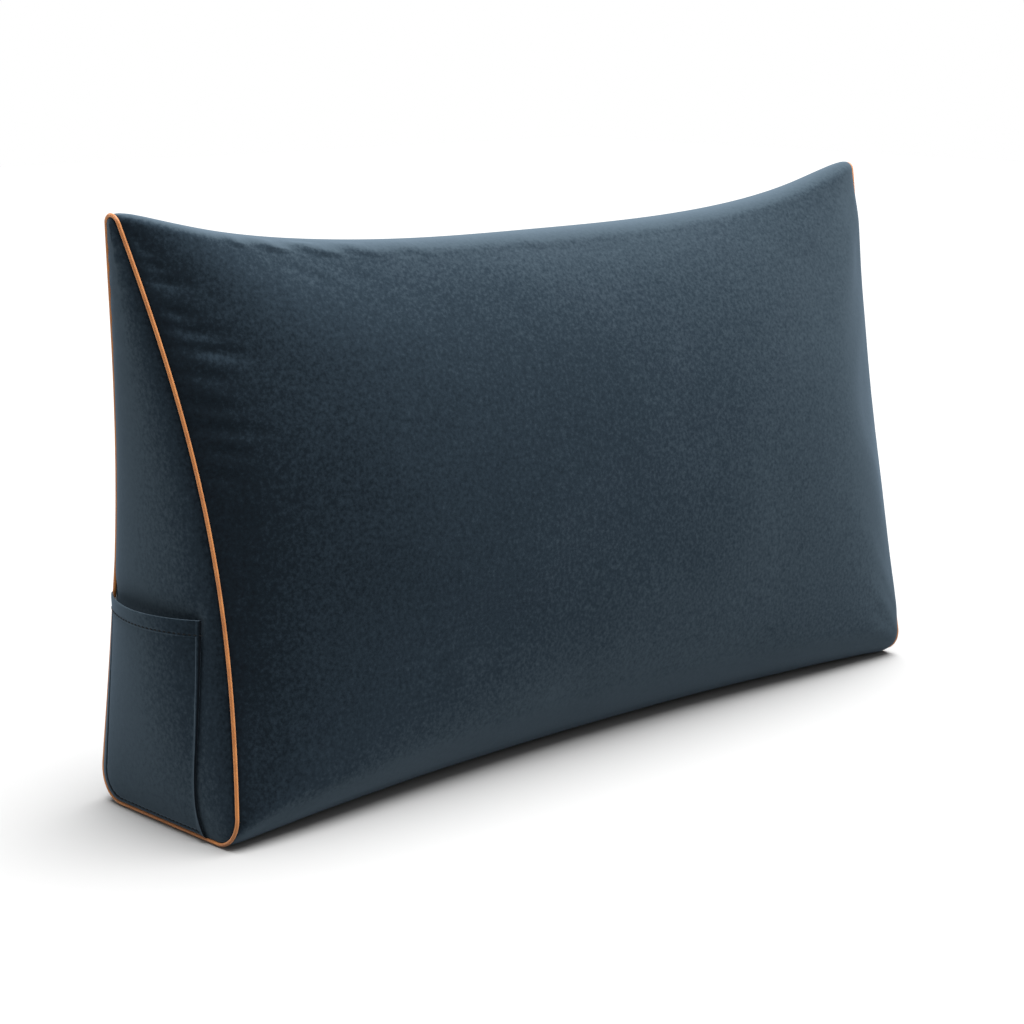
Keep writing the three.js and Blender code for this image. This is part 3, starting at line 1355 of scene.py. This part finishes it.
@dataclass
class EndPanel:
    """The cloth panel that closes an end, rolled down beside the piping along its edge."""

    form: WedgeForm
    end: End
    node: str
    finish: bpy.types.Material
    rows: int = 200
    columns: int = 64
    cloth: float = 1.2
    inset: float = 1.7
    roll_width: float = 1.6
    roll_drop: float = 1.4
    dip: float = 0.0  # how far it is pressed in behind a pocket's mouth
    dip_height: float = 178.0
    dip_reach: float = 13.0
    dip_places: Pair = (-57.0, -42.0)  # across the end, between which it grows
    gathers: Sequence[Gather] = (
        Gather(470, 0, 22, 3.5, 0.9),
        Gather(455, 0, 30, 4.5, 1.2),
        Gather(436, 0, 34, 5.0, 1.3),
        Gather(414, 0, 30, 5.0, 0.9),
        Gather(392, 0, 26, 5.5, 0.6),
    )

    def relief(self, y: Floats, z: Floats) -> Floats:
        """How far the rolled edge and the gathers at the back seam sink the panel.

        Args:
            y: Places across the end.
            z: Heights.

        Returns:
            Distances outwards.
        """
        inner = np.clip((self.form.from_seam(y, z) - self.inset) / self.roll_width, 0, 1)
        total = -self.roll_drop * (1 - np.sqrt(1 - (1 - inner) ** 2))
        total -= self.dip * bell(z - self.dip_height, self.dip_reach) * smooth_step(y, *self.dip_places)
        from_back = self.form.reach(z, 0, 1) - y
        for gather in self.gathers:
            total -= gather.trough(from_back, z)
        return total

    def build(self) -> bpy.types.Object:
        """Make the panel's mesh and dress it.

        Returns:
            The panel.
        """
        form = self.form
        low = form.seam_floor + self.inset
        high = form.end_section.top - self.inset
        heights = low + (high - low) * eased(self.rows)
        z, across = np.meshgrid(heights, eased(self.columns), indexing="ij")
        front, back = form.reach(z, self.inset, -1), form.reach(z, self.inset, 1)
        y = front + (back - front) * across
        depth = self.relief(y, z) - form.piping_proud
        outer = form.end_points(self.end, y, z, depth)
        inner = form.end_points(self.end, y, z, depth - self.cloth)
        piece = mesh_piece(f"end_panel_{self.end.name.lower()}", *sheet_grid(outer, inner))
        piece.data.materials.append(self.finish)
        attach(piece, BODY)
        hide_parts(self.node)
        return piece


@dataclass
class PipingCord:
    """Cloth-covered cord in an end seam, creased along its crown. A node tree sweeps it along the seam."""

    form: WedgeForm
    end: End
    node: str
    finish: bpy.types.Material
    steps: dict[Face, int] = field(
        default_factory=lambda: {
            Face.FRONT: 130,
            Face.RIDGE: 24,
            Face.BACK: 130,
            Face.BACK_CORNER: 26,
            Face.BASE: 44,
            Face.FRONT_CORNER: 26,
        }
    )
    sunk: float = 0.0  # how far the roll of the filling presses it into the seam
    sunk_along: float = 0.7  # the part of that along X
    settled: Sequence[tuple[float, float]] = (
        # the number of faces passed, and how far the cord has settled into the seam along X there
        (0.0, 0.0),
        (2.0, 0.5),
        (2.25, 1.1),
        (2.62, 1.1),
        (2.70, 0.2),
        (6.0, 0.0),
    )
    radius: float = 1.6
    sides: int = 24
    crease_depth: float = 0.16  # as a share of the radius
    crease_width: float = 0.07  # as a share of a turn

    def tree(self) -> GeometryGraph:
        """Build the node tree that sweeps a creased round section along a closed guide.

        Returns:
            The tree.
        """
        sizes = {
            "Radius": self.radius * MM,
            "Sides": self.sides,
            "Crease Depth": self.crease_depth,
            "Crease Width": self.crease_width,
        }
        graph = GeometryGraph("piping", sizes)
        path = graph.node("GeometryNodeMeshToCurve", {}, {"Mesh": graph.given("Geometry")})
        outward = graph.named("outward", "FLOAT_VECTOR")
        path = graph.node("GeometryNodeSetCurveNormal", {"mode": "FREE"}, {"Curve": path, "Normal": outward})
        path = graph.stored(path, "along", graph.node("GeometryNodeSplineParameter", output="Length"))
        values = {"Resolution": graph.given("Sides"), "Radius": graph.given("Radius")}
        circle = graph.node("GeometryNodeCurvePrimitiveCircle", {"mode": "RADIUS"}, values)
        around = graph.node("GeometryNodeSplineParameter", output="Factor")
        circle = graph.stored(circle, "around", around)
        from_crown = graph.node("ShaderNodeMath", {"operation": "PINGPONG"}, {0: around, 1: 0.5})
        crease = self._bell(graph, from_crown / graph.given("Crease Width"))
        circle = graph.stored(circle, "crease", crease)
        scale = 1.0 - graph.named("crease", "FLOAT") * graph.given("Crease Depth")
        values = {"Vector": graph.node("GeometryNodeInputPosition"), "Scale": scale}
        moved = graph.node("ShaderNodeVectorMath", {"operation": "SCALE"}, values)
        circle = graph.node("GeometryNodeSetPosition", {}, {"Geometry": circle, "Position": moved})
        graph.close(graph.node("GeometryNodeCurveToMesh", {}, {"Curve": path, "Profile Curve": circle}))
        return graph

    @staticmethod
    def _bell(graph: GeometryGraph, value: Socket) -> Socket:
        """A soft bump of height 1 at 0, in nodes."""
        return graph.node("ShaderNodeMath", {"operation": "EXPONENT"}, {0: value * value * -1.0})

    def build(self) -> bpy.types.Object:
        """Make the guide, sweep the cord along it and dress it.

        Returns:
            The piping.
        """
        edge = self.form.end_section.loop(self.steps)
        passed = np.array([list(Face).index(face) for face in edge.face]) + edge.part
        sunk_along = self.sunk * self.sunk_along + np.interp(passed, *zip(*self.settled))
        points = self.form.seam(self.end, edge, -self.sunk, -sunk_along)
        count = len(points)
        links = [(k, (k + 1) % count) for k in range(count)]
        mesh = bpy.data.meshes.new(f"piping_cord_{self.end.name.lower()}")
        mesh.from_pydata((points * MM).tolist(), links, [])
        outward = np.stack([np.full(count, float(self.end.value)), edge.normal_y, edge.normal_z], axis=-1)
        attribute = mesh.attributes.new("outward", "FLOAT_VECTOR", "POINT")
        attribute.data.foreach_set("vector", (outward / math.sqrt(2)).astype(np.float32).ravel())
        piece = placed(mesh)
        self.tree().apply(piece, self.finish)
        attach(piece, BODY)
        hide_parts(self.node)
        return piece


@dataclass
class SidePocket:
    """The patch pocket on the left end: turned hem and front edge, topstitched back and bottom seams."""

    form: WedgeForm
    finish: bpy.types.Material
    node: str = "pocket_left"
    front_y: float = -52.5
    front_height: float = 183.0
    back_height: float = 181.0
    sag: float = 1.5
    gape: float = 10.0
    gape_power: float = 2.2
    gape_fullness: float = 0.6  # the less, the sooner the mouth opens beside its front corner
    inset: float = 2.2
    lap: float = 1.2  # how far the mouth's back corner is drawn over the piping
    lap_raise: float = 0.6
    lap_power: int = 20
    lap_length: Pair = (3.0, 11.0)  # below the mouth, between which the lap ends
    seam_drop: float = 1.3  # how far its edge goes down into the seams
    seam_drop_length: float = 2.0
    hem_reach: float = 0.2  # how far the hem juts past the front edge
    front_stand: float = 1.0  # how far the turned front edge stands off the panel
    front_stand_length: float = 3.5
    front_bow: float = 2.0  # how far back the front edge bows above the bottom
    front_bow_place: Pair = (48.0, 30.0)  # where, as a height and a width
    edge_shade_width: float = 0.7  # width of the strip along the front edge that gets the painted shade
    flare: float = 5.5  # how much further forward the front edge ends at the bottom
    flare_height: float = 20.0
    seat: float = 0.75
    cloth: float = 1.3
    edge_rounding: float = 0.9  # how far in from its borders the cloth is rounded
    hem: float = 13.5
    hem_stitch: float = 12.0
    hem_step: float = 1.0  # half the height over which the hem's jut ends
    front_fold: float = 3.4
    hem_raise: float = 0.5
    fold_raise: float = 0.7
    raise_step: float = 0.8  # half the width over which the hem and the fold rise
    hem_groove: Pair = (0.35, 1.0)  # depth and width of the groove along the hem's stitches
    topstitch: float = 6.0  # from the seam line
    topstitch_shift: float = 6.5  # how much further it runs from the back seam than from the bottom seam
    topstitch_groove: Pair = (1.0, 1.2)  # depth and width
    rows: int = 120
    columns: int = 100

    @property
    def width(self) -> float:
        """How wide the pocket is half way up."""
        return float(self.form.reach(self.front_height / 2, self.inset, 1)) - self.front_y

    def graded(self, length: float, marks: Sequence[float], count: int) -> Floats:
        """Places along a length, close together near the marks.

        Args:
            length: The whole length.
            marks: Where fine steps are wanted.
            count: How many steps.

        Returns:
            Shares of the length, from 0 to 1.
        """
        near, pull, samples = 2.2, 6.0, 2000
        place = np.linspace(0, length, samples)
        density = 1 + pull * sum(bell(place - mark, near) for mark in marks)
        total = np.concatenate([[0], np.cumsum((density[1:] + density[:-1]) / 2)])
        return np.interp(np.linspace(0, total[-1], count + 1), total, place) / length

    def mouth(self, across: Floats) -> Floats:
        """Height of the mouth's edge, at shares from the front edge, 0, to the back seam, 1."""
        level = self.front_height + (self.back_height - self.front_height) * across
        return level - self.sag * np.sin(np.pi * across)

    def depth(self, across: Floats, up: Floats) -> Floats:
        """How far the pocket's inner face stands out from the piping's centre line.

        Args:
            across: Shares from the front edge to the back seam.
            up: Shares from the bottom seam to the mouth.

        Returns:
            The distances.
        """
        fullness = self.gape_fullness + (1 - self.gape_fullness) * across
        opening = np.maximum(np.sin(np.pi * across), 0) ** fullness
        gape = self.gape * opening * up**self.gape_power
        y, z = self.place(across, up)
        inside = np.maximum(self.form.from_seam(y, z) - self.inset, 0)
        caught = self.seam_drop * np.exp(-inside / self.seam_drop_length) * (1 - self.at_corner(up))
        lap = self.lap_raise * across**self.lap_power * self.at_corner(up)
        stand = self.front_stand * bell(across * self.width, self.front_stand_length)
        return -self.form.piping_proud + self.seat + gape + lap + stand - caught

    def at_corner(self, up: Floats) -> Floats:
        """How much of the lap there is, from 0 to 1, at shares from the bottom seam to the mouth."""
        below = (1 - up) * (self.back_height - self.form.seam_floor - self.inset)
        return 1 - smooth_step(below, *self.lap_length)

    def relief(self, y: Floats, z: Floats, mouth: Floats) -> Floats:
        """What hem, fold and topstitching add to the outer face.

        Args:
            y: Places across the end.
            z: Heights.
            mouth: Height of the mouth's edge at those places.

        Returns:
            Distances outwards.
        """
        below, behind = mouth - z, y - self.front_y
        step = self.raise_step
        in_hem = 1 - smooth_step(below, self.hem - step, self.hem + step)
        in_fold = 1 - smooth_step(behind, self.front_fold - step, self.front_fold + step)
        turned = np.maximum(self.hem_raise * in_hem, self.fold_raise * in_fold)
        depth, width = self.hem_groove
        hem_groove = depth * bell(below - self.hem_stitch, width)
        depth, width = self.topstitch_groove
        inside = self.form.from_seam(y + self.topstitch_shift, z)
        topstitch = depth * bell(inside - self.topstitch, width) * (behind > self.front_fold)
        return turned - hem_groove - topstitch * (below > self.hem)

    def place(self, across: Floats, up: Floats) -> tuple[Floats, Floats]:
        """Where a share of the pocket lies on the end.

        Args:
            across: Shares from the front edge to the back seam.
            up: Shares from the bottom seam to the mouth.

        Returns:
            Places across the end, and heights.
        """
        bottom = self.form.seam_floor + self.inset
        z = bottom + (self.mouth(across) - bottom) * up
        back = self.form.reach(z, self.inset, 1) + self.lap * self.at_corner(up)
        front = self.front(z, self.mouth(across) - z)
        return front + (back - front) * across, z

    def front(self, z: Floats, below: Floats) -> Floats:
        """Where the front edge runs.

        Args:
            z: Heights.
            below: Distances below the mouth's edge.

        Returns:
            Places across the end.
        """
        step = self.hem_step
        juts = self.hem_reach * (1 - smooth_step(below, self.hem - step, self.hem + step))
        bow_height, bow_width = self.front_bow_place
        bow = self.front_bow * bell(z - bow_height, bow_width)
        return self.front_y - juts + bow - self.flare * bell(z, self.flare_height)

    def build(self) -> bpy.types.Object:
        """Make the pocket's mesh and dress it.

        Returns:
            The pocket.
        """
        width = self.width
        length = self.front_height - self.form.seam_floor - self.inset
        seam_row = self.topstitch - self.inset
        back_row = width - seam_row - self.topstitch_shift
        across = self.graded(width, (0, self.front_fold, back_row, width), self.columns)
        marks = (0, seam_row, length - self.hem, length - self.hem_stitch, length)
        up = self.graded(length, marks, self.rows)
        across, up = np.meshgrid(across, up)
        y, z = self.place(across, up)
        inner_depth = self.depth(across, up)
        thickness = self.cloth + self.relief(y, z, self.mouth(across))
        border = np.minimum.reduce([across * width, (1 - across) * width, up * length, (1 - up) * length])
        rounding = np.sqrt(1 - (1 - np.clip(border / self.edge_rounding, 0, 1)) ** 2)
        middle = inner_depth + thickness / 2
        half = thickness / 2 * rounding
        outer, inner = (self.form.end_points(End.LEFT, y, z, middle + out) for out in (half, -half))
        piece = mesh_piece("side_pocket", *sheet_grid(outer, inner))
        # Painted shade: the pile is darkened along the front edge, where the edge's shadow falls.
        painted_edge_shade = bell(across * width, self.edge_shade_width)
        painted_edge_shade = np.concatenate([painted_edge_shade.ravel(), painted_edge_shade[1:-1, 1:-1].ravel()])
        attribute = piece.data.attributes.new("painted_edge_shade", "FLOAT", "POINT")
        attribute.data.foreach_set("value", painted_edge_shade.astype(np.float32))
        piece.data.materials.append(self.finish)
        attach(piece, BODY)
        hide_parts(self.node)
        return piece


@dataclass
class PocketStitches:
    """Rows of stitches on the pocket: along the hem, and beside its back and bottom seams."""

    pocket: SidePocket
    finish: bpy.types.Material
    pitch: float = 5.2
    length: float = 3.6
    thickness: float = 1.1
    lift: float = 0.25
    samples: int = 160
    corner_samples: int = 30
    ball: tuple[int, int] = (8, 6)  # segments and rings of a stitch
    hem_overshoot: float = 0.5  # how far past the front edge the hem's row starts
    hem_height: float = 170.0  # where the back seam is read for that row's end
    hem_end: float = 4.0  # how far before the seam it ends
    hem_margin: float = 3.0  # how much of the hem is left beyond it
    seam_clearances: Pair = (2.0, 1.0)  # of the seams' row from the hem, and from its own corner

    def rows(self) -> list[Floats]:
        """Lay out the rows on the pocket's outer face.

        Returns:
            Each row's points.
        """
        pocket, form = self.pocket, self.pocket.form
        bottom = form.seam_floor + pocket.topstitch
        hem_back = float(form.reach(self.hem_height, pocket.inset, 1)) - self.hem_end
        hem_y = np.linspace(pocket.front_y - self.hem_overshoot, hem_back, self.samples)
        across = (hem_y - pocket.front_y) / (hem_back + self.hem_margin - pocket.front_y)
        hem_z = pocket.mouth(across) - pocket.hem_stitch
        corner = form.end_section.circles()[Face.BACK_CORNER]
        radius = corner.radius - pocket.topstitch
        turn = np.linspace(0.0, -math.pi / 2, self.corner_samples)
        from_hem, from_corner = self.seam_clearances
        back_start = pocket.back_height - pocket.hem - from_hem
        back_z = np.linspace(back_start, corner.z + from_corner, self.samples)
        back_y = form.reach(back_z, pocket.topstitch, 1)
        base_end = pocket.front_y + pocket.front_fold + pocket.topstitch_shift
        base_y = np.linspace(corner.y, base_end, self.samples)
        seam_y = np.concatenate([back_y, corner.y + radius * np.cos(turn), base_y]) - pocket.topstitch_shift
        seam_z = np.concatenate([back_z, corner.z + radius * np.sin(turn), bottom + 0 * base_y])
        return [self._on_pocket(hem_y, hem_z), self._on_pocket(seam_y, seam_z)]

    def _on_pocket(self, y: Floats, z: Floats) -> Floats:
        """Lift places on the end to the pocket's outer face.

        Args:
            y: Places across the end.
            z: Heights.

        Returns:
            Points just above the cloth.
        """
        pocket = self.pocket
        bottom = pocket.form.seam_floor + pocket.inset
        across = (y - pocket.front_y) / (pocket.form.reach(z, pocket.inset, 1) - pocket.front_y)
        mouth = pocket.mouth(across)
        up = np.clip((z - bottom) / (mouth - bottom), 0, 1)
        depth = pocket.depth(across, up) + pocket.cloth + pocket.relief(y, z, mouth) + self.lift
        return pocket.form.end_points(End.LEFT, y, z, depth)

    def tree(self) -> GeometryGraph:
        """Build the node tree that sets stitches end to end along guides.

        Returns:
            The tree.
        """
        sizes = {"Pitch": self.pitch * MM, "Length": self.length * MM, "Thickness": self.thickness * MM}
        graph = GeometryGraph("stitches", sizes)
        path = graph.node("GeometryNodeMeshToCurve", {}, {"Mesh": graph.given("Geometry")})
        spacing = {"Curve": path, "Length": graph.given("Pitch")}
        path = graph.node("GeometryNodeResampleCurve", {"mode": "LENGTH"}, spacing)
        segments, rings = self.ball
        round_form = {"Segments": segments, "Rings": rings, "Radius": 0.5}
        ball = graph.node("GeometryNodeMeshUVSphere", {}, round_form)
        tangent = graph.node("GeometryNodeInputTangent")
        turned = graph.node("FunctionNodeAlignRotationToVector", {"axis": "X"}, {"Vector": tangent})
        thickness = graph.given("Thickness")
        axes = {"X": graph.given("Length"), "Y": thickness, "Z": thickness}
        size = graph.node("ShaderNodeCombineXYZ", {}, axes)
        values = {"Points": path, "Instance": ball, "Rotation": turned, "Scale": size}
        graph.close(graph.node("GeometryNodeInstanceOnPoints", {}, values))
        return graph

    def build(self) -> bpy.types.Object:
        """Make the guides, set the stitches and dress them.

        Returns:
            The stitches.
        """
        points: list[list[float]] = []
        links: list[tuple[int, int]] = []
        for row in self.rows():
            first = len(points)
            points += (row * MM).tolist()
            links += [(k, k + 1) for k in range(first, len(points) - 1)]
        mesh = bpy.data.meshes.new("pocket_stitches")
        mesh.from_pydata(points, links, [])
        piece = placed(mesh)
        self.tree().apply(piece, self.finish)
        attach(piece, BODY)
        return piece


# The studio


def direction(azimuth: float, elevation: float) -> Vector:
    """The direction towards a place round the object, from the front at azimuth 0."""
    level = math.cos(elevation)
    return Vector((math.sin(azimuth) * level, -math.cos(azimuth) * level, math.sin(elevation)))


@dataclass
class Studio:
    """Floor, light and camera."""

    floor_size: float = 14.0
    world: Colour = (1.0, 1.0, 1.0, 1.0)
    world_strength: float = 0.5
    key_strength: float = 11.0
    key_angle: float = 1.1
    key_azimuth: float = 1.5
    key_elevation: float = 1.35
    view_azimuth: float = math.radians(-43.4)  # round from the front, towards the left end
    view_elevation: float = math.radians(12.215)
    distance: float = 2154.6
    aim: tuple[float, float, float] = (-25.8, 9.7, 200.8)
    lens: float = 82.4
    sensor: float = 36.0
    far: float = 100.0

    def build(self) -> None:
        """Set up the floor, the light and the camera."""
        self._floor()
        self._light()
        self._camera()

    def _floor(self) -> None:
        """Lay the floor."""
        half = self.floor_size / 2
        mesh = bpy.data.meshes.new("studio_floor")
        corners = [(-half, -half, 0), (half, -half, 0), (half, half, 0), (-half, half, 0)]
        mesh.from_pydata(corners, [], [(0, 1, 2, 3)])
        floor = placed(mesh)
        mesh.materials.append(FloorFinish().material())

    def _light(self) -> None:
        """Hang one broad soft light over a pale room."""
        world = bpy.data.worlds.new("studio")
        bpy.context.scene.world = world
        world.use_nodes = True
        graph = Graph(world.node_tree)
        seen = graph.node("ShaderNodeLightPath", output="Is Camera Ray")
        lit = graph.node("ShaderNodeBackground", {}, {"Color": self.world, "Strength": self.world_strength})
        white = graph.node("ShaderNodeBackground", {}, {"Color": self.world, "Strength": 1.0})
        shown = graph.node("ShaderNodeMixShader", {}, {0: seen, 1: lit, 2: white})
        graph.node("ShaderNodeOutputWorld", {}, {"Surface": shown}, None)
        sun = bpy.data.lights.new("key", "SUN")
        sun.energy = self.key_strength
        sun.angle = self.key_angle
        towards = direction(self.key_azimuth, self.key_elevation)
        placed(sun).rotation_euler = towards.to_track_quat("Z", "Y").to_euler()

    def _camera(self) -> None:
        """Place the camera where the photograph was taken from."""
        gaze = -direction(self.view_azimuth, self.view_elevation)
        data = bpy.data.cameras.new("camera")
        data.lens = self.lens
        data.sensor_width = self.sensor
        data.clip_end = self.far
        camera = placed(data)
        camera.location = (Vector(self.aim) - gaze * self.distance) * MM
        camera.rotation_euler = gaze.to_track_quat("-Z", "Y").to_euler()
        bpy.context.scene.camera = camera
        bpy.context.scene.view_settings.view_transform = "Standard"


def fitted_form() -> WedgeForm:
    """The form, moved so that its seams lie where the frame's piping lies.

    Returns:
        The form in the frame's axes.
    """
    low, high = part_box("piping_left")
    plain = WedgeForm()
    section = plain.end_section
    own_middle = (section.front_y + section.back_y) / 2
    return WedgeForm(shift_y=(low.y + high.y) / 2 / MM - own_middle)


def main() -> None:
    """Build every piece in order and set up the studio."""
    logging.basicConfig(level=logging.INFO, format="%(name)s: %(message)s")
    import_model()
    form = fitted_form()
    velvet = VelvetFinish().material()
    tan = PipingFinish().material()
    thread = ThreadFinish().material()
    pocket = SidePocket(form, velvet)
    makers = [Wrap(form, velvet)]
    for end, sunk, dip in ((End.LEFT, 0.0, 3.0), (End.RIGHT, 1.1, 0.0)):
        side = end.name.lower()
        makers.append(EndPanel(form, end, f"side_panel_{side}", velvet, dip=dip))
        makers.append(PipingCord(form, end, f"piping_{side}", tan, sunk=sunk))
    makers += [pocket, PocketStitches(pocket, thread)]
    for maker in makers:
        piece = maker.build()
        LOG.info("%s: %d points, %d faces", piece.name, len(piece.data.vertices), len(piece.data.polygons))
    Studio().build()


if __name__ == "__main__":
    main()
